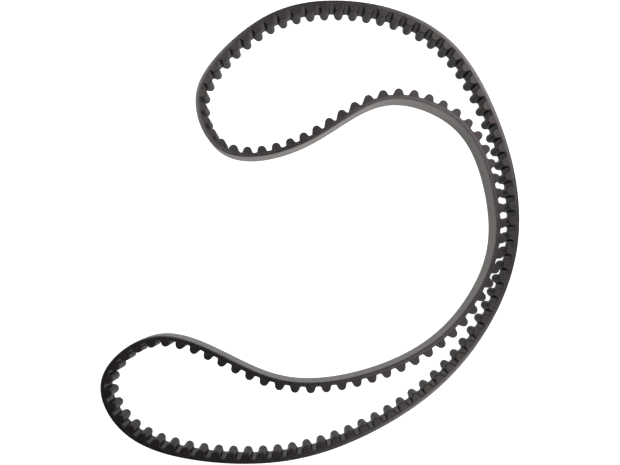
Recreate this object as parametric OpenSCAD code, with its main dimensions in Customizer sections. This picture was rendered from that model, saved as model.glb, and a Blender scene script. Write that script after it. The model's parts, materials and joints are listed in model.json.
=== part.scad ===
// Synchronous drive belt with 133 rounded teeth at 5 mm pitch, lying on its edge as a loose C.
// The belt line is one closed curve. Every layer is a ring at a set depth from the smooth back.

/* [Belt] */
// Number of teeth; with the pitch this sets the belt's pitch length
teeth = 133; // [133:1:145]
// Tooth pitch along the cord centre line
pitch = 5; // [5:0.05:5.2]
// Belt width, standing upright on its edge
width = 9; // [9:0.5:15]

/* [Layers] */
// Rubber over the cords, from the smooth back inwards
back_t = 0.7; // [0.5:0.05:0.8]
// Side of the square section that stands for one cord
cord_d = 0.5; // [0.4:0.05:0.5]
// Number of cord turns across the width
cord_turns = 10; // [6:2:10]
// Distance between neighbouring cord turns
cord_pitch = 0.8; // [0.7:0.05:0.85]
// Thickness of the fabric and rubber skin on the toothed side
skin_t = 0.32; // [0.28:0.01:0.32]

/* [Teeth] */
// Height of a tooth above the land between two teeth
tooth_h = 2.08; // [2:0.01:2.08]
// Radius of the rounded tooth tip
tip_r = 1.45; // [1.4:0.01:1.5]
// Slope of the flanks from square to the land, in degrees
flank_a = 17; // [14:1:20]
// Radius of the fillet at the root of a tooth
root_r = 0.45; // [0.4:0.01:0.5]

/* [Hidden] */
// Places the cord line passes through, set by eye; the loop is scaled to its pitch length
THROUGH = [
  [8, 75], [-14.5, 70], [-32.5, 54.5], [-37.5, 41], [-32.5, 28.5],
  [-20, 24], [-3, 28.5], [12, 37.5], [27, 43.5], [43.5, 39.5],
  [55, 28], [60.5, 10], [60.5, -7], [54, -22.5], [41, -37],
  [21.5, -47], [0, -51], [-17, -48], [-33, -40.5], [-50, -36],
  [-63.5, -43], [-67, -54], [-59, -66], [-42, -73], [-18, -75],
  [8, -70], [36.5, -54.5], [56, -33], [65.5, -11], [67, 10],
  [62, 33], [49.5, 57.5], [30.5, 71]
];
path_n = len(THROUGH);

// Corner points of the smooth curve through those places: each round halves what is left to correct
rounds = 16;
function corners(c, left) = left == 0 ? c
  : corners([for (i = [0 : path_n - 1])
      (THROUGH[i] * 6 - c[(i + path_n - 1) % path_n] - c[(i + 1) % path_n]) / 4], left - 1);
PATH = corners(THROUGH, rounds);

// Fine samples per curve piece, used to measure the curve's length
fine = 16;
fine_n = path_n * fine;

// Position on the closed uniform cubic B-spline, and its direction
function knot(i) = PATH[(i + path_n) % path_n];
function spline(i, t) =
  (knot(i - 1) * pow(1 - t, 3)
   + knot(i) * (3 * t * t * t - 6 * t * t + 4)
   + knot(i + 1) * (-3 * t * t * t + 3 * t * t + 3 * t + 1)
   + knot(i + 2) * t * t * t) / 6;
function spline_d(i, t) =
  (-knot(i - 1) * pow(1 - t, 2)
   + knot(i) * (3 * t * t - 4 * t)
   + knot(i + 1) * (-3 * t * t + 2 * t + 1)
   + knot(i + 2) * t * t) / 2;

// Running length along the fine samples
step_l = [for (k = [0 : fine_n - 1])
  norm(spline(floor((k + 1) / fine) % path_n, ((k + 1) % fine) / fine)
       - spline(floor(k / fine), (k % fine) / fine))];
run = [for (k = 0, s = 0; k <= fine_n; s = s + (k < fine_n ? step_l[k] : 0), k = k + 1) s];
grow = teeth * pitch / run[fine_n];

// Curve parameter at a distance along the belt, found by halving the table
function seek(s, a, b) = b - a <= 1 ? a
  : let (m = floor((a + b) / 2)) run[m] <= s ? seek(s, m, b) : seek(s, a, m);
function param(s) =
  let (r = (s / grow + run[fine_n]) % run[fine_n], k = seek(r, 0, fine_n))
  (k + (r - run[k]) / (run[k + 1] - run[k])) / fine;

// Pitch-line point and unit normal towards the teeth at each station.
// Even stations are tooth centres and odd ones the middles of the lands.
stations = 2 * teeth;
// Distance from the start of the curve to the centre of the first tooth
first = 3.7;
function unit(v) = v / norm(v);
ST = [for (j = [0 : stations - 1])
  let (u = param(j * pitch / 2 + first), i = floor(u) % path_n, t = u - floor(u),
       p = spline(i, t) * grow, d = unit(spline_d(i, t)))
  [p, [-d[1], d[0]]]];
function station(j) = ST[(j + stations) % stations];

// The rings bend at every land, and at a tooth centre only where the belt turns sharply
flat_sag = 0.07;
function bends(j) = j % 2 == 1
  || norm(station(j)[0] - (station(j - 1)[0] + station(j + 1)[0]) / 2) > flat_sag;

// Depths from the back
cord_mid = back_t + cord_d / 2;
cord_in = back_t + cord_d;
land = cord_in + skin_t;
tip = land + tooth_h;

// The loop is centred on its own bounding box
BACK = [for (s = ST) s[0] - s[1] * cord_mid];
xs = [for (p = BACK) p[0]];
ys = [for (p = BACK) p[1]];
mid = [(min(xs) + max(xs)) / 2, (min(ys) + max(ys)) / 2];

// A point of a ring at a depth: on its own station, or halfway along a straight piece
function own(j, depth) = station(j)[0] + station(j)[1] * (depth - cord_mid) - mid;
function at(j, depth) =
  bends((j + stations) % stations) ? own(j, depth) : (own(j - 1, depth) + own(j + 1, depth)) / 2;

// A ring point at a station plus a part f of the way to the next one or back
function between(j, f, depth) = f < 0
  ? at(j, depth) * (1 + f) - at(j - 1, depth) * f
  : at(j, depth) * (1 - f) + at(j + 1, depth) * f;

// Every ring line uses the same stations at its own depth, so layers meet face to face
function line_at(depth) = [for (j = [0 : stations - 1]) if (bends(j)) at(j, depth)];

// Half of the tooth outline: from the land up the flank to the tip, as [x, height].
// It is a tip arc, a straight flank and a root fillet, all tangent to each other.
arc_n = 4;
fillet_n = 2;
tip_c = tooth_h - tip_r;
flank_x = tip_r * cos(flank_a);
flank_y = tip_c + tip_r * sin(flank_a);
fillet_x = flank_x + tan(flank_a) * (flank_y - root_r) + root_r / cos(flank_a);
half_out = [
  for (k = [0 : fillet_n])
    let (q = 270 - (90 - flank_a) * k / fillet_n)
    [fillet_x + root_r * cos(q), root_r + root_r * sin(q)],
  for (k = [0 : arc_n])
    let (q = flank_a + (90 - flank_a) * k / arc_n)
    [tip_r * cos(q), tip_c + tip_r * sin(q)]
];

// Half of the rubber core of a tooth: the same outline less the skin
core_r = tip_r - skin_t;
core_x = core_r * cos(flank_a);
core_y = tip_c + core_r * sin(flank_a);
core_foot = core_x + tan(flank_a) * (core_y + skin_t);
core_n = 3;
half_core = [
  [core_foot, -skin_t],
  for (k = [0 : core_n])
    let (q = flank_a + (90 - flank_a) * k / core_n)
    [core_r * cos(q), tip_c + core_r * sin(q)]
];

function mirrored(half) = [for (k = [len(half) - 2 : -1 : 0]) [-half[k][0], half[k][1]]];
outline = concat(half_out, mirrored(half_out));
core = concat(half_core, mirrored(half_core));

// A profile point of tooth k. Low points follow the bent belt and high points stand
// square on the tooth's own centre, because a tooth doesn't bend.
function place(k, q) =
  let (j = 2 * k, f = -q[0] / (pitch / 2), n = station(j)[1], along = [n[1], -n[0]],
       base = between(j, f, land + min(q[1], 0)),
       stiff = at(j, land) + along * -q[0] + n * q[1],
       w = min(1, max(0, q[1] / 0.6)))
  q[1] <= 0 ? base
  : (base + n * q[1]) * (1 - w) + stiff * w;

function core_points(k) = [for (q = core) place(k, q)];

module ring(a, b) {
  n = len(a);
  polygon(concat(a, b), [[for (i = [0 : n - 1]) i], [for (i = [0 : len(b) - 1]) n + i]]);
}

// Cord turns and the rubber between them, counted up from the lower edge
edge = (width - (cord_turns - 1) * cord_pitch - cord_d) / 2;
function cord_z(i) = edge + i * cord_pitch;

module backing_rubber() {
  color([0.2, 0.19, 0.19])
    linear_extrude(width)
      ring(line_at(0), line_at(back_t));
}

// One rubber ring between each two cord turns, and one at each edge
module cord_bed_rubber() {
  color([0.14, 0.13, 0.13])
    for (i = [0 : cord_turns]) {
      z0 = i == 0 ? 0 : cord_z(i - 1) + cord_d;
      z1 = i == cord_turns ? width : cord_z(i);
      translate([0, 0, z0])
        linear_extrude(z1 - z0)
          ring(line_at(back_t), line_at(cord_in));
    }
}

// Cord turns of one lay; the two lays alternate across the width
module cords(from) {
  for (i = [from : 2 : cord_turns - 1])
    translate([0, 0, cord_z(i)])
      linear_extrude(cord_d)
        ring(line_at(back_t), line_at(cord_in));
}

module tension_cord_s() {
  color([0.78, 0.76, 0.7])
    cords(0);
}

module tension_cord_z() {
  color([0.66, 0.64, 0.58])
    cords(1);
}

module tooth_rubber() {
  color([0.16, 0.15, 0.14])
    for (k = [0 : teeth - 1])
      linear_extrude(width)
        polygon(concat(core_points(k), bends(2 * k) ? [at(2 * k, cord_in)] : []));
}

// Outer side: lands and teeth. Inner side: the cord bed, with a pocket for each tooth core.
module tooth_facing() {
  wavy = [for (k = [0 : teeth - 1])
    each concat([for (q = outline) place(k, q)], [at(2 * k + 1, land)])];
  inner = [for (k = [0 : teeth - 1]) each concat(core_points(k), [at(2 * k + 1, cord_in)])];
  color([0.3, 0.28, 0.27])
    linear_extrude(width)
      ring(wavy, inner);
}

backing_rubber();
cord_bed_rubber();
tension_cord_s();
tension_cord_z();
tooth_rubber();
tooth_facing();
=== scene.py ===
import bisect
import json
import math

import bpy
from mathutils import Matrix, Vector

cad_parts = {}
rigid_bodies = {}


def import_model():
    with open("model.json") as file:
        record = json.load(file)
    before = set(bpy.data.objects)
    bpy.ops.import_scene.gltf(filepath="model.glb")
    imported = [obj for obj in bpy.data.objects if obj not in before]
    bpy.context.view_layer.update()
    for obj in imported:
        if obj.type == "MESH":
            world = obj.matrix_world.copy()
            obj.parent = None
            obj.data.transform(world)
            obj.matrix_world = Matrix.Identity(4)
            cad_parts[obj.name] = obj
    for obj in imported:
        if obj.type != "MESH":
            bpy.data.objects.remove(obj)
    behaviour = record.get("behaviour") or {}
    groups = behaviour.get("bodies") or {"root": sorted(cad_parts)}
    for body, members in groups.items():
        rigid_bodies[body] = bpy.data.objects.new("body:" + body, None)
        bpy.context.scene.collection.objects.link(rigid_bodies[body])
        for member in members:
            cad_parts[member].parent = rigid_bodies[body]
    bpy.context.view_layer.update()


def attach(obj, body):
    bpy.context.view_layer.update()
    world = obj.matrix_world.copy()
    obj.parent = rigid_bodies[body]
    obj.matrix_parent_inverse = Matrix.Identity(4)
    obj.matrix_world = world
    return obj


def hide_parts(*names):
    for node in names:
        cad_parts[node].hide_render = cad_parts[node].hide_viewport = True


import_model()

MM = 0.001

# ---------------------------------------------------------------- belt facts, in mm
TEETH = 133
PITCH = 5.0
WIDTH = 9.0
BACK_T = 0.7
CORD_D = 0.5
CORD_TURNS = 10
CORD_PITCH = 0.8
SKIN_T = 0.32
TOOTH_H = 2.08
TIP_R = 1.45
FLANK_A = math.radians(17)
ROOT_R = 0.45
CORD_MID = BACK_T + CORD_D / 2
CORD_IN = BACK_T + CORD_D
LAND = CORD_IN + SKIN_T
# From the start of the line to the centre of the first tooth
FIRST = 3.7
LENGTH = TEETH * PITCH

# Places the cord line passes through, as in the CAD
THROUGH = [
    (8, 75), (-14.5, 70), (-32.5, 54.5), (-37.5, 41), (-32.5, 28.5),
    (-20, 24), (-3, 28.5), (12, 37.5), (27, 43.5), (43.5, 39.5),
    (55, 28), (60.5, 10), (60.5, -7), (54, -22.5), (41, -37),
    (21.5, -47), (0, -51), (-17, -48), (-33, -40.5), (-50, -36),
    (-63.5, -43), (-67, -54), (-59, -66), (-42, -73), (-18, -75),
    (8, -70), (36.5, -54.5), (56, -33), (65.5, -11), (67, 10),
    (62, 33), (49.5, 57.5), (30.5, 71),
]
# Samples per piece of the line, for measuring its length
FINE = 16
ROUNDS = 16


def corners():
    """Corner points of the smooth curve through THROUGH; each round halves what is left."""
    n = len(THROUGH)
    c = THROUGH
    for _ in range(ROUNDS):
        c = [tuple((6 * THROUGH[i][k] - c[i - 1][k] - c[(i + 1) % n][k]) / 4 for k in (0, 1))
             for i in range(n)]
    return c


PATH = corners()


def spline(u, slope=False):
    """Point, or direction, of the closed uniform cubic B-spline with corner points PATH."""
    n = len(PATH)
    u %= n
    i = int(u)
    t = u - i
    if slope:
        w = (-(1 - t) ** 2 / 2, (3 * t * t - 4 * t) / 2,
             (-3 * t * t + 2 * t + 1) / 2, t * t / 2)
    else:
        w = ((1 - t) ** 3 / 6, (3 * t ** 3 - 6 * t * t + 4) / 6,
             (-3 * t ** 3 + 3 * t * t + 3 * t + 1) / 6, t ** 3 / 6)
    near = [PATH[(i + k) % n] for k in (-1, 0, 1, 2)]
    return tuple(sum(a * c[axis] for a, c in zip(w, near)) for axis in (0, 1))


RUN = [0.0]
for k in range(len(PATH) * FINE):
    a, b = spline(k / FINE), spline((k + 1) / FINE)
    RUN.append(RUN[-1] + math.hypot(b[0] - a[0], b[1] - a[1]))
GROW = LENGTH / RUN[-1]


def line_frame(s):
    """Pitch-line point and unit normal towards the teeth, s mm along the belt."""
    r = (s / GROW) % RUN[-1]
    k = min(bisect.bisect_right(RUN, r) - 1, len(RUN) - 2)
    u = (k + (r - RUN[k]) / (RUN[k + 1] - RUN[k])) / FINE
    p, d = spline(u), spline(u, True)
    size = math.hypot(*d)
    return (p[0] * GROW, p[1] * GROW), (-d[1] / size, d[0] / size)


BACK_PTS = [(p[0] - n[0] * CORD_MID, p[1] - n[1] * CORD_MID)
            for p, n in (line_frame(FIRST + j * PITCH / 2) for j in range(2 * TEETH))]
MID = tuple((min(p[k] for p in BACK_PTS) + max(p[k] for p in BACK_PTS)) / 2 for k in (0, 1))


def station(s):
    """Centred pitch-line point and normal, s mm along from the first tooth's centre."""
    p, n = line_frame(FIRST + s)
    return (p[0] - MID[0], p[1] - MID[1]), n


def offset(p, n, distance):
    return p[0] + n[0] * distance, p[1] + n[1] * distance


def at(s, depth):
    """Point in the plane, s mm along and depth mm from the back."""
    return offset(*station(s), depth - CORD_MID)


# ---------------------------------------------------------------- mesh helpers
# Steps round the loop for the back and the cord bed
STEPS = TEETH * 12


def make_object(name, verts, faces, mats, mat_ids, uvs, smooth=True):
    """verts in mm; uvs is a list of one (u, v) in mm for each face corner."""
    mesh = bpy.data.meshes.new(name)
    mesh.from_pydata([(x * MM, y * MM, z * MM) for x, y, z in verts], [], faces)
    layer = mesh.uv_layers.new(name="belt_uv")
    layer.data.foreach_set("uv", [c for uv in uvs for c in uv])
    for m in mats:
        mesh.materials.append(m)
    mesh.polygons.foreach_set("material_index", mat_ids)
    mesh.polygons.foreach_set("use_smooth", [smooth] * len(faces))
    mesh.update()
    obj = bpy.data.objects.new(name, mesh)
    bpy.context.scene.collection.objects.link(obj)
    return obj


def swept_ring(name, section, kinds, mats):
    """Sweeps a closed (depth, z) section round the whole belt line.

    kinds gives each section edge its material number. The section runs so that
    faces point outwards.
    """
    m = len(section)
    verts, faces, ids, uvs = [], [], [], []
    girth = [0.0]
    for i in range(m):
        a, b = section[i], section[(i + 1) % m]
        girth.append(girth[-1] + math.hypot(b[0] - a[0], b[1] - a[1]))
    for k in range(STEPS):
        p, n = station(LENGTH * k / STEPS)
        verts += [(*offset(p, n, d - CORD_MID), z) for d, z in section]
    for k in range(STEPS):
        j = (k + 1) % STEPS
        s0, s1 = LENGTH * k / STEPS, LENGTH * (k + 1) / STEPS
        for i in range(m):
            h = (i + 1) % m
            faces.append((k * m + i, j * m + i, j * m + h, k * m + h))
            ids.append(kinds[i])
            uvs += [(s0, girth[i]), (s1, girth[i]), (s1, girth[i + 1]), (s0, girth[i + 1])]
    return make_object(name, verts, faces, mats, ids, uvs)


# ---------------------------------------------------------------- materials
def node_material(name):
    mat = bpy.data.materials.new(name)
    mat.use_nodes = True
    tree = mat.node_tree
    bsdf = tree.nodes["Principled BSDF"]
    return mat, tree, bsdf


def add(tree, kind, **sockets):
    node = tree.nodes.new(kind)
    for key, value in sockets.items():
        if key.startswith("p_"):
            setattr(node, key[2:], value)
        else:
            node.inputs[key.replace("_", " ")].default_value = value
    return node


def ramp(tree, source, stops):
    node = tree.nodes.new("ShaderNodeValToRGB")
    while len(node.color_ramp.elements) < len(stops):
        node.color_ramp.elements.new(0.5)
    for e, (pos, col) in zip(node.color_ramp.elements, stops):
        e.position = pos
        e.color = (*col, 1)
    tree.links.new(source, node.inputs["Fac"])
    return node.outputs["Color"]


def grey(v):
    return (v, v, v)


def scaled(tree, source, scale):
    node = add(tree, "ShaderNodeMapping")
    node.inputs["Scale"].default_value = scale
    tree.links.new(source, node.inputs["Vector"])
    return node.outputs["Vector"]


def noise(tree, vector, scale, detail=3.0, rough=0.55):
    node = add(tree, "ShaderNodeTexNoise", Scale=scale, Detail=detail, Roughness=rough)
    tree.links.new(vector, node.inputs["Vector"])
    return node.outputs["Fac"]


def weighted(tree, *terms):
    """Sum of (socket, weight) terms."""
    total = None
    for source, weight in terms:
        term = math_node(tree, "MULTIPLY", source, weight)
        total = term if total is None else math_node(tree, "ADD", total, term)
    return total


def math_node(tree, op, a, b=None):
    node = tree.nodes.new("ShaderNodeMath")
    node.operation = op
    for socket, value in zip(node.inputs, (a, b)):
        if value is None:
            continue
        if isinstance(value, (int, float)):
            socket.default_value = value
        else:
            tree.links.new(value, socket)
    return node.outputs[0]


def mix_color(tree, fac, a, b, mode="MIX"):
    node = tree.nodes.new("ShaderNodeMix")
    node.data_type = "RGBA"
    node.blend_type = mode
    for index, value in ((0, fac), (6, a), (7, b)):
        if isinstance(value, (int, float)):
            node.inputs[index].default_value = value
        elif isinstance(value, tuple):
            node.inputs[index].default_value = (*value, 1)
        else:
            tree.links.new(value, node.inputs[index])
    return node.outputs[2]


def bump(tree, height, strength, distance):
    node = add(tree, "ShaderNodeBump", Strength=strength, Distance=distance)
    tree.links.new(height, node.inputs["Height"])
    return node.outputs["Normal"]


def belt_uv(tree):
    node = tree.nodes.new("ShaderNodeUVMap")
    node.uv_map = "belt_uv"
    return node.outputs["UV"]


def object_mm(tree):
    node = tree.nodes.new("ShaderNodeTexCoord")
    return scaled(tree, node.outputs["Object"], (1 / MM, 1 / MM, 1 / MM))


# Colours, as linear red, green and blue
BACK_DARK, BACK_LIGHT = (0.044, 0.0407, 0.0377), (0.1, 0.0925, 0.0853)
DUST = (0.17, 0.16, 0.149)
CLOTH_DARK, CLOTH_LIGHT = (0.021, 0.0187, 0.0178), (0.055, 0.0490, 0.0468)
YARN_DARK, YARN_LIGHT = (0.22, 0.19, 0.14), (0.42, 0.38, 0.31)
# Part of the cloth's colour kept on each stretch of the toothed side; on the flanks it is partly
# painted shade between the teeth, partly the cloth
LAND_SHADE, FLANK_PAINTED_SHADE, CREST_SHADE = 0.85, 0.2, 0.6
# Twill, in mm: one rib along the belt, one rib across it, and one crossing yarn
RIB_ALONG, RIB_ACROSS, YARN_ACROSS = 0.42, 0.36, 0.18


def back_material():
    """Ground back: fine streaks along the belt, a little dust, faint cloudy patches."""
    mat, tree, bsdf = node_material("ground_back")
    uv = belt_uv(tree)
    streak = noise(tree, scaled(tree, uv, (0.12, 7.0, 1)), 1.0, 4.0, 0.6)
    fine = noise(tree, scaled(tree, uv, (0.5, 22.0, 1)), 1.0, 2.0, 0.6)
    cloud = noise(tree, scaled(tree, uv, (0.08, 0.25, 1)), 1.0, 3.0, 0.5)
    both = weighted(tree, (streak, 0.6), (fine, 0.4))
    tone = ramp(tree, both, [(0.3, BACK_DARK), (0.7, BACK_LIGHT)])
    dust = ramp(tree, cloud, [(0.45, grey(0.0)), (0.8, grey(0.25))])
    base = mix_color(tree, dust, tone, DUST)
    tree.links.new(base, bsdf.inputs["Base Color"])
    tree.links.new(ramp(tree, both, [(0.25, grey(0.48)), (0.75, grey(0.64))]),
                   bsdf.inputs["Roughness"])
    tree.links.new(bump(tree, both, 0.5, 0.00004), bsdf.inputs["Normal"])
    bsdf.inputs["Specular IOR Level"].default_value = 0.16
    return mat


def mottled(tree, pos, warm, cool):
    """Sheen colour that drifts between two hues over a millimetre or so."""
    drift = noise(tree, pos, 0.9, 2.0, 0.6)
    return ramp(tree, drift, [(0.35, warm), (0.65, cool)])


def cut_material(name, dark, light, rough, gloss, warm, cool):
    """Rubber cut with a knife: faint scuffs and specks."""
    mat, tree, bsdf = node_material(name)
    pos = object_mm(tree)
    grain = noise(tree, pos, 3.5, 4.0, 0.65)
    cloud = noise(tree, pos, 0.35, 2.0, 0.5)
    streak = noise(tree, scaled(tree, belt_uv(tree), (0.15, 6.0, 1)), 1.0, 2.0, 0.5)
    both = weighted(tree, (grain, 0.45), (cloud, 0.2), (streak, 0.35))
    tree.links.new(ramp(tree, both, [(0.3, dark), (0.7, light)]), bsdf.inputs["Base Color"])
    tree.links.new(ramp(tree, both, [(0.3, grey(rough - 0.08)), (0.7, grey(rough + 0.1))]),
                   bsdf.inputs["Roughness"])
    shine = ramp(tree, both, [(0.32, grey(0.56)), (0.66, grey(1.0))])
    tree.links.new(mix_color(tree, 1.0, shine, mottled(tree, pos, warm, cool), "MULTIPLY"),
                   bsdf.inputs["Specular Tint"])
    bsdf.inputs["Specular IOR Level"].default_value = gloss
    tree.links.new(bump(tree, grain, 0.35, 0.00003), bsdf.inputs["Normal"])
    return mat


def facing_material(name, gloss):
    """Rubber-soaked nylon twill on the toothed side."""
    mat, tree, bsdf = node_material(name)
    uv = belt_uv(tree)
    sep = tree.nodes.new("ShaderNodeSeparateXYZ")
    tree.links.new(uv, sep.inputs[0])
    u, v = sep.outputs[0], sep.outputs[1]
    wobble = noise(tree, scaled(tree, uv, (0.8, 0.8, 1)), 1.0, 2.0, 0.5)
    # Diagonal ribs of the twill, broken into short floats by the crossing yarns
    turn = 2 * math.pi
    diag = weighted(tree, (u, turn / RIB_ALONG), (v, turn / RIB_ACROSS), (wobble, 2.5))
    ribs = math_node(tree, "SINE", diag)
    cross = math_node(tree, "SINE", math_node(tree, "MULTIPLY", v, turn / YARN_ACROSS))
    weave = math_node(tree, "ADD", weighted(tree, (ribs, 0.35), (cross, 0.15)), 0.5)
    grain = noise(tree, scaled(tree, uv, (5, 5, 1)), 1.0, 3.0, 0.6)
    height = weighted(tree, (weave, 0.75), (grain, 0.25))
    tone = ramp(tree, height, [(0.25, CLOTH_DARK), (0.8, CLOTH_LIGHT)])
    tree.links.new(mottled(tree, object_mm(tree), (1.0, 0.83, 0.81), (0.92, 0.92, 0.86)),
                   bsdf.inputs["Specular Tint"])
    # Flanks are shaded darker than lands and crests. This stands for the shade between teeth
    # as well as for the cloth, so it isn't a measured colour.
    up = add(tree, "ShaderNodeAttribute", p_attribute_name="up_tooth").outputs["Fac"]
    bsdf.inputs["Specular IOR Level"].default_value = gloss
    shade = ramp(tree, up, [(0.0, grey(LAND_SHADE)), (0.03, grey(FLANK_PAINTED_SHADE)),
                            (0.42, grey(FLANK_PAINTED_SHADE)), (0.58, grey(CREST_SHADE))])
    tree.links.new(mix_color(tree, 1.0, tone, shade, "MULTIPLY"), bsdf.inputs["Base Color"])
    tree.links.new(ramp(tree, height, [(0.2, grey(0.44)), (0.8, grey(0.30))]),
                   bsdf.inputs["Roughness"])
    tree.links.new(bump(tree, height, 0.6, 0.00005), bsdf.inputs["Normal"])
    return mat


def cord_material():
    mat, tree, bsdf = node_material("treated_yarn")
    uv = belt_uv(tree)
    strands = noise(tree, scaled(tree, uv, (3, 12, 1)), 1.0, 3.0, 0.6)
    tree.links.new(ramp(tree, strands, [(0.3, YARN_DARK), (0.7, YARN_LIGHT)]),
                   bsdf.inputs["Base Color"])
    tree.links.new(bump(tree, strands, 0.5, 0.00005), bsdf.inputs["Normal"])
    bsdf.inputs["Roughness"].default_value = 0.6
    return mat


BACK = back_material()
CUT_BACK = cut_material("cut_back_rubber", (0.002, 0.0021, 0.0029), (0.006, 0.0058, 0.0078),
                        0.27, 1.0, (1.0, 0.86, 0.90), (0.88, 0.88, 1.0))
CUT_BED = cut_material("cut_bed_rubber", (0.002, 0.0017, 0.0020), (0.006, 0.0050, 0.0057),
                       0.29, 0.96, (1.0, 0.84, 0.86), (0.92, 0.86, 0.92))
CUT_TOOTH = cut_material("cut_tooth_rubber", (0.002, 0.0016, 0.0016), (0.005, 0.0041, 0.0041),
                         0.35, 0.68, (1.0, 0.78, 0.78), (0.88, 0.90, 0.84))
CUT_FABRIC = cut_material("cut_facing", (0.002, 0.0017, 0.0017), (0.005, 0.0042, 0.0042),
                          0.38, 0.66, (1.0, 0.80, 0.80), (0.88, 0.90, 0.84))
# Three copies of the cloth that differ only in gloss; the flanks' low gloss darkens them, partly
# as painted shade between the teeth
LAND_CLOTH = facing_material("facing_land", 0.028)
FLANK_CLOTH = facing_material("facing_flank", 0.006)
CREST_CLOTH = facing_material("facing_crest", 0.014)
YARN = cord_material()

# ---------------------------------------------------------------- pieces
def rounded_back_section():
    """(depth, z) round the backing, with worn corners on the smooth side."""
    r, bevels, rows = 0.25, 3, 12
    pts, kinds = [], []
    for k in range(bevels + 1):
        q = math.pi / 2 * k / bevels
        pts.append((r - r * math.sin(q), r - r * math.cos(q)))
        kinds.append(0 if k else 1)
    for k in range(1, rows):
        pts.append((0.0, r + (WIDTH - 2 * r) * k / rows))
        kinds.append(0)
    for k in range(bevels + 1):
        q = math.pi / 2 * k / bevels
        pts.append((r - r * math.cos(q), WIDTH - r + r * math.sin(q)))
        kinds.append(0 if k < bevels else 1)
    pts += [(BACK_T, WIDTH), (BACK_T, 0.0)]
    kinds += [1, 1]
    return pts, kinds


section, kinds = rounded_back_section()
belt_back = swept_ring("belt_back", section, kinds, [BACK, CUT_BACK])
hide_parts("backing_rubber")


def stacked_rings(name, spans, mats, d0, d1):
    """Square-section rings between two depths, one for each (low, high) span in z."""
    verts, faces, ids, uvs = [], [], [], []
    for z0, z1 in spans:
        first = len(verts)
        sec = [(d0, z0), (d0, z1), (d1, z1), (d1, z0)]
        for k in range(STEPS):
            p, n = station(LENGTH * k / STEPS)
            verts += [(*offset(p, n, d - CORD_MID), z) for d, z in sec]
        for k in range(STEPS):
            j = (k + 1) % STEPS
            s0, s1 = LENGTH * k / STEPS, LENGTH * (k + 1) / STEPS
            for i in range(4):
                h = (i + 1) % 4
                faces.append((first + k * 4 + i, first + j * 4 + i,
                              first + j * 4 + h, first + k * 4 + h))
                ids.append(0)
                uvs += [(s0, i), (s1, i), (s1, i + 1), (s0, i + 1)]
    return make_object(name, verts, faces, mats, ids, uvs, smooth=False)


EDGE = (WIDTH - (CORD_TURNS - 1) * CORD_PITCH - CORD_D) / 2
cord_low = [EDGE + i * CORD_PITCH for i in range(CORD_TURNS)]
lows = [0.0] + [z + CORD_D for z in cord_low]
highs = cord_low + [WIDTH]
cord_bed = stacked_rings("cord_bed", list(zip(lows, highs)), [CUT_BED], BACK_T, CORD_IN)
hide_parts("cord_bed_rubber")


# Times that the two plies of a yarn wind round each other in one lap of the belt
PLY_TURNS = 110
# How far the yarn's outline dips between its two plies, as a part of its radius
PLY_DIP = 0.07


def cord_tubes(name, first, twist):
    """Round yarn turns with two plies; twist is 1 or -1, for the two lays."""
    verts, faces, ids, uvs = [], [], [], []
    steps, sides = TEETH * 6, 8
    turns = PLY_TURNS * twist
    for c in range(first, CORD_TURNS, 2):
        base = len(verts)
        zc = cord_low[c] + CORD_D / 2
        for k in range(steps):
            p, n = station(LENGTH * k / steps)
            lay = 2 * math.pi * turns * k / steps
            for i in range(sides):
                q = 2 * math.pi * i / sides
                r = CORD_D / 2 * (1 - PLY_DIP + PLY_DIP * math.cos(2 * (q - lay)))
                verts.append((*offset(p, n, r * math.cos(q)), zc + r * math.sin(q)))
        for k in range(steps):
            j = (k + 1) % steps
            s0, s1 = LENGTH * k / steps, LENGTH * (k + 1) / steps
            for i in range(sides):
                h = (i + 1) % sides
                faces.append((base + k * sides + h, base + j * sides + h,
                              base + j * sides + i, base + k * sides + i))
                ids.append(0)
                uvs += [(s0, i + 1), (s1, i + 1), (s1, i), (s0, i)]
    return make_object(name, verts, faces, [YARN], ids, uvs)


for label, start, twist in (("s", 0, 1), ("z", 1, -1)):
    cords = cord_tubes("cords_" + label, start, twist)
    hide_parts("tension_cord_" + label)

# ---------------------------------------------------------------- toothed side
TIP_C = TOOTH_H - TIP_R
FLANK_X = TIP_R * math.cos(FLANK_A)
FLANK_Y = TIP_C + TIP_R * math.sin(FLANK_A)
FILLET_X = FLANK_X + math.tan(FLANK_A) * (FLANK_Y - ROOT_R) + ROOT_R / math.cos(FLANK_A)


def arc(cx, cy, r, q0, q1, n):
    return [(cx + r * math.cos(q0 + (q1 - q0) * k / n), cy + r * math.sin(q0 + (q1 - q0) * k / n))
            for k in range(n + 1)]


def half_outline():
    """From the middle of the land to the tip, as (x, height), x falling."""
    pts = [(PITCH / 2 + (FILLET_X - PITCH / 2) * k / 3, 0.0) for k in range(3)]
    pts += arc(FILLET_X, ROOT_R, ROOT_R, math.radians(270), math.radians(180) + FLANK_A, 6)
    end = pts[-1]
    pts += [(end[0] + (FLANK_X - end[0]) * k / 3, end[1] + (FLANK_Y - end[1]) * k / 3)
            for k in (1, 2)]
    pts += arc(0.0, TIP_C, TIP_R, FLANK_A, math.pi / 2, 10)
    return pts


HALF = half_outline()
OUTER = HALF + [(-x, y) for x, y in reversed(HALF[1:-1])]

CORE_R = TIP_R - SKIN_T


def half_core():
    cx = CORE_R * math.cos(FLANK_A)
    cy = TIP_C + CORE_R * math.sin(FLANK_A)
    foot = cx + math.tan(FLANK_A) * (cy + SKIN_T)
    pts = [(foot, -SKIN_T), ((foot + cx) / 2, (cy - SKIN_T) / 2)]
    pts += arc(0.0, TIP_C, CORE_R, FLANK_A, math.pi / 2, 8)
    return pts


HCORE = half_core()
CORE = HCORE + [(-x, y) for x, y in reversed(HCORE[:-1])]


# Height on a tooth from which it no longer follows the belt's bend
STIFF_FROM = 0.6


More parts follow.
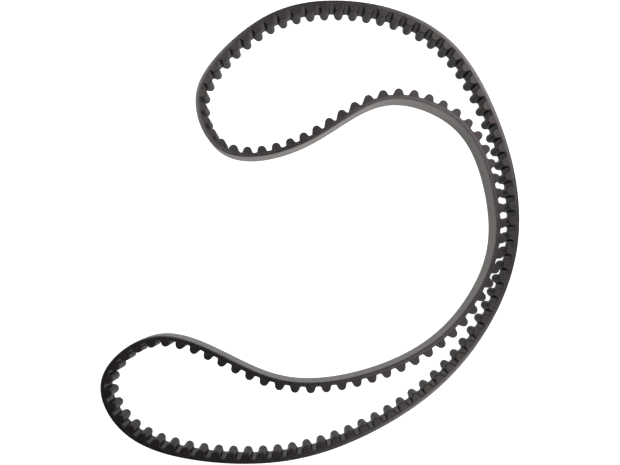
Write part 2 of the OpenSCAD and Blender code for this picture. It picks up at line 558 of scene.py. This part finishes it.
def place(k, q):
    """In-plane point of tooth k's profile: low points follow the bend, high ones don't."""
    x, h = q
    low = at(k * PITCH - x, LAND + min(h, 0.0))
    if h <= 0:
        return low
    p, n = station(k * PITCH)
    c = offset(p, n, LAND - CORD_MID)
    along = (n[1], -n[0])
    stiff = (c[0] - along[0] * x + n[0] * h, c[1] - along[1] * x + n[1] * h)
    w = min(1.0, h / STIFF_FROM)
    soft = offset(low, n, h)
    return (soft[0] * (1 - w) + stiff[0] * w, soft[1] * (1 - w) + stiff[1] * w)


def tooth_cores():
    verts, faces, ids, uvs = [], [], [], []
    base_row = [(HCORE[0][0] * (1 - 2 * k / 4), -SKIN_T) for k in (3, 2, 1)]
    loop = CORE + base_row
    m = len(loop)
    for k in range(TEETH):
        first = len(verts)
        flat = [place(k, q) for q in loop]
        for z in (0.0, WIDTH):
            verts += [(x, y, z) for x, y in flat]
        for i in range(m):
            h = (i + 1) % m
            faces.append((first + i, first + h, first + m + h, first + m + i))
            ids.append(0)
            uvs += [(i, 0), (i + 1, 0), (i + 1, WIDTH), (i, WIDTH)]
        faces.append(tuple(first + i for i in reversed(range(m))))
        faces.append(tuple(first + m + i for i in range(m)))
        ids += [0, 0]
        uvs += loop[::-1] + loop
    return make_object("tooth_cores", verts, faces, [CUT_TOOTH], ids, uvs, smooth=False)


cores = tooth_cores()
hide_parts("tooth_rubber")


# Points on the floor of the skin between two pockets, each side of a tooth
FLOOR_X = (2.05, 1.75)
# Inset of the rounded long edges of the skin, and how much of it the middle step of the round has
EDGE_INSET = 0.05
EDGE_HALFWAY = EDGE_INSET * 0.3
# Mean height of a face up to which it counts as land, and up to which it counts as flank
LAND_UP_TO, FLANK_UP_TO = 0.06, 1.1
LAND_ID, FLANK_ID, CREST_ID, CUT_ID = range(4)


def jacket_waves():
    """Outer wave, and inner wave with a pocket for each core, with their points per tooth."""
    core_line = [(PITCH / 2, -SKIN_T)] + [(x, -SKIN_T) for x in FLOOR_X] + CORE \
        + [(-x, -SKIN_T) for x in reversed(FLOOR_X)]
    outer = [place(k, q) for k in range(TEETH) for q in OUTER]
    inner = [place(k, q) for k in range(TEETH) for q in core_line]
    return outer, inner, len(OUTER), len(core_line)


def jacket_object():
    """The fabric skin: both waves and the cut side edges between them."""
    outer, inner, n_out, n_in = jacket_waves()
    verts, faces, ids, uvs = [], [], [], []
    c, half, rows = EDGE_INSET, EDGE_HALFWAY, 8
    zs = [c + (WIDTH - 2 * c) * k / rows for k in range(rows + 1)]
    no, ni = len(outer), len(inner)
    # Outward normals of the outer wave, to round its two long edges
    norm = []
    for i in range(no):
        a, b = outer[i - 1], outer[(i + 1) % no]
        t = (b[0] - a[0], b[1] - a[1])
        size = math.hypot(*t)
        norm.append((-t[1] / size, t[0] / size))
    layers = [(0.0, c), (half, half)] + [(z, 0.0) for z in zs] \
        + [(WIDTH - half, half), (WIDTH, c)]
    for z, inset in layers:
        verts += [(x - nx * inset, y - ny * inset, z) for (x, y), (nx, ny) in zip(outer, norm)]
    run = [0.0]
    for i in range(no):
        a, b = outer[i], outer[(i + 1) % no]
        run.append(run[-1] + math.hypot(b[0] - a[0], b[1] - a[1]))
    nl = len(layers)
    rise = [q[1] for q in OUTER] + [0.0]
    means = [(a + b) / 2 for a, b in zip(rise, rise[1:])]
    zones = [LAND_ID if h < LAND_UP_TO else FLANK_ID if h < FLANK_UP_TO else CREST_ID
             for h in means]
    for r in range(nl - 1):
        z0, z1 = layers[r][0], layers[r + 1][0]
        for i in range(no):
            j = (i + 1) % no
            faces.append((r * no + j, r * no + i, (r + 1) * no + i, (r + 1) * no + j))
            ids.append(zones[i % n_out])
            uvs += [(run[i + 1], z0), (run[i], z0), (run[i], z1), (run[i + 1], z1)]
    base = len(verts)
    for z in (0.0, WIDTH):
        verts += [(x, y, z) for x, y in inner]
    for i in range(ni):
        j = (i + 1) % ni
        faces.append((base + i, base + j, base + ni + j, base + ni + i))
        ids.append(CUT_ID)
        uvs += [(i, 0), (i + 1, 0), (i + 1, WIDTH), (i, WIDTH)]
    # Side edges: a strip of triangles between the two waves
    for top in (0, 1):
        o0 = (nl - 1) * no if top else 0
        i0 = base + (ni if top else 0)
        for k in range(TEETH):
            a, b = 0, 0
            while a < n_out or b < n_in:
                ga, gb = a / n_out, b / n_in
                oa, ob = o0 + (k * n_out + a) % no, i0 + (k * n_in + b) % ni
                if b >= n_in or (a < n_out and ga <= gb):
                    oc = o0 + (k * n_out + a + 1) % no
                    a += 1
                else:
                    oc = i0 + (k * n_in + b + 1) % ni
                    b += 1
                tri = (oa, ob, oc) if top else (oa, oc, ob)
                faces.append(tri)
                ids.append(CUT_ID)
                uvs += [(verts[v][0], verts[v][1]) for v in tri]
    obj = make_object("tooth_jacket", verts, faces,
                      [LAND_CLOTH, FLANK_CLOTH, CREST_CLOTH, CUT_FABRIC], ids, uvs)
    # Height up the tooth, 0 on the land and 1 at the tip, for the shade on flanks and crests
    up = obj.data.attributes.new("up_tooth", "FLOAT", "POINT")
    wave = [max(0.0, q[1] / TOOTH_H) for q in OUTER] * TEETH
    up.data.foreach_set("value", wave * nl + [0.0] * (len(verts) - nl * no))
    return obj


jacket = jacket_object()
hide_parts("tooth_facing")

for piece in [o for o in bpy.context.scene.objects
              if o.name in ("belt_back", "cord_bed", "cords_s", "cords_z", "tooth_cores",
                            "tooth_jacket")]:
    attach(piece, "root")

# Sharp edges between the cut sides and the long faces
for piece in (belt_back, jacket):
    piece.data.set_sharp_from_angle(angle=math.radians(50))

# ---------------------------------------------------------------- floor, light, camera
# Half the floor's side, how far it lies under the belt, and the lamps' distance, in metres
FLOOR_HALF = 1.2
FLOOR_DROP = 0.0002
LAMP_AWAY = 0.7
# Camera: degrees of tilt and pan from straight down, place in metres, and lens in mm
TILT, PAN = 3.2, 0.8
SPOT = (-0.0038, -0.0139, 0.228)
LENS = 38.7


def floor():
    """Pale floor that gives off light of its own, so no shadow shows on it."""
    mesh = bpy.data.meshes.new("floor")
    half = FLOOR_HALF
    mesh.from_pydata([(-half, -half, 0), (half, -half, 0), (half, half, 0), (-half, half, 0)],
                     [], [(0, 1, 2, 3)])
    obj = bpy.data.objects.new("floor", mesh)
    bpy.context.scene.collection.objects.link(obj)
    mat, tree, bsdf = node_material("floor_white")
    tex = tree.nodes.new("ShaderNodeTexCoord")
    tone = ramp(tree, noise(tree, tex.outputs["Object"], 3.0),
                [(0.3, grey(0.36)), (0.7, grey(0.38))])
    tree.links.new(tone, bsdf.inputs["Base Color"])
    bsdf.inputs["Roughness"].default_value = 0.9
    bsdf.inputs["Specular IOR Level"].default_value = 0.1
    bsdf.inputs["Emission Color"].default_value = (1, 1, 1, 1)
    bsdf.inputs["Emission Strength"].default_value = 1.0
    mesh.materials.append(mat)
    obj.location.z = -FLOOR_DROP


floor()


def studio_world():
    """Nearly dark room; only the camera sees a white backdrop behind the floor."""
    world = bpy.data.worlds.new("studio")
    bpy.context.scene.world = world
    world.use_nodes = True
    tree = world.node_tree
    room = tree.nodes["Background"]
    room.inputs["Color"].default_value = (0.95, 0.97, 1.0, 1)
    room.inputs["Strength"].default_value = 0.02
    backdrop = tree.nodes.new("ShaderNodeBackground")
    backdrop.inputs["Color"].default_value = (1, 1, 1, 1)
    rays = tree.nodes.new("ShaderNodeLightPath")
    mix = tree.nodes.new("ShaderNodeMixShader")
    tree.links.new(rays.outputs["Is Camera Ray"], mix.inputs["Fac"])
    tree.links.new(room.outputs["Background"], mix.inputs[1])
    tree.links.new(backdrop.outputs["Background"], mix.inputs[2])
    tree.links.new(mix.outputs["Shader"], tree.nodes["World Output"].inputs["Surface"])


studio_world()


def soft_lamp(name, azimuth, elevation, size, power, glints=True):
    """Round soft lamp aimed at the belt; angles in degrees."""
    light = bpy.data.lights.new(name, "AREA")
    light.shape = "DISK"
    light.size = size
    light.energy = power
    obj = bpy.data.objects.new(name, light)
    bpy.context.scene.collection.objects.link(obj)
    a, e = math.radians(azimuth), math.radians(elevation)
    where = LAMP_AWAY * Vector((math.cos(e) * math.cos(a), math.cos(e) * math.sin(a), math.sin(e)))
    obj.location = where
    obj.rotation_euler = (-where).to_track_quat("-Z", "Y").to_euler()
    obj.visible_glossy = glints


# Two groups of lamps, halfway up and near the top, light the cut edge
for label, elevation, size, power in (("high", 48, 0.35, 1.8), ("top", 67, 0.22, 0.4)):
    for azimuth in (45, 135, 315):
        soft_lamp("%s_%d" % (label, azimuth), azimuth, elevation, size, power)
# Low lamps fill the upright faces; they make no glints, so the edge doesn't flare from the side
for azimuth in (0, 110, 230):
    soft_lamp("low_%d" % azimuth, azimuth, 22, 0.3, 1.5, glints=False)
soft_lamp("low_key", 312, 22, 0.3, 6.0, glints=False)


def camera():
    cam = bpy.data.cameras.new("camera")
    obj = bpy.data.objects.new("camera", cam)
    bpy.context.scene.collection.objects.link(obj)
    tilt, pan = math.radians(TILT), math.radians(PAN)
    right = (math.cos(pan), -math.sin(pan) * math.sin(tilt), math.sin(pan) * math.cos(tilt))
    up = (0.0, math.cos(tilt), math.sin(tilt))
    back = (-math.sin(pan), -math.cos(pan) * math.sin(tilt), math.cos(pan) * math.cos(tilt))
    obj.matrix_world = Matrix([(right[k], up[k], back[k], SPOT[k]) for k in range(3)]
                              + [(0, 0, 0, 1)])
    cam.sensor_width = 36
    cam.lens = LENS
    cam.clip_start = 0.01
    bpy.context.scene.camera = obj


camera()
bpy.context.scene.view_settings.view_transform = "Standard"
bpy.context.scene.view_settings.look = "None"
